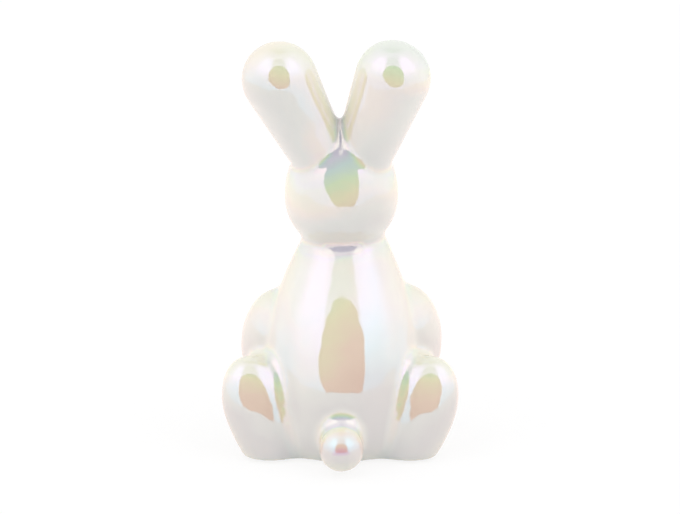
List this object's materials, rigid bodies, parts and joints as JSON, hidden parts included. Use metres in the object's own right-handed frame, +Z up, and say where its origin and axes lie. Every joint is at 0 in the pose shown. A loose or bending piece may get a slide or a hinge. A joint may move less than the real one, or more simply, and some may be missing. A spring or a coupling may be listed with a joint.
{
  "type": "bunny figurine",
  "caption": "Seated bunny figurine with rounded limbs, tall pod ears and a tail nub, cast hollow in clay under a smooth pearl glaze; a free-standing shelf ornament.",
  "frame": {"origin": "under the middle of the figure, on the plane that its felt pads stand on", "axes": "+Z up from the pads to the ear tips, +Y ahead the way the face looks, -X to the bunny's left"},
  "size_m": [0.103, 0.0904, 0.1793],
  "materials": {
    "pearl_glaze": "white earthenware under a smooth glossy pearl glaze with a soft pink, green and blue sheen",
    "slip_bead": "slip of the same clay, smoothed into the creases and glazed over with the castings",
    "felt_pad": "thin pale wool felt"
  },
  "bodies": {
    "root": {"torso": "pearl_glaze", "head": "pearl_glaze", "neck_bead": "slip_bead", "tail": "pearl_glaze", "tail_bead": "slip_bead", "ear_left": "pearl_glaze", "ear_left_bead": "slip_bead", "ear_right": "pearl_glaze", "ear_right_bead": "slip_bead", "hind_leg_left": "pearl_glaze", "hind_leg_left_bead": "slip_bead", "hind_leg_right": "pearl_glaze", "hind_leg_right_bead": "slip_bead", "foreleg_left": "pearl_glaze", "foreleg_left_bead": "slip_bead", "foreleg_right": "pearl_glaze", "foreleg_right_bead": "slip_bead", "felt_pad_front_left": "felt_pad", "felt_pad_rear_left": "felt_pad", "felt_pad_front_right": "felt_pad", "felt_pad_rear_right": "felt_pad"}
  },
  "joints": []
}
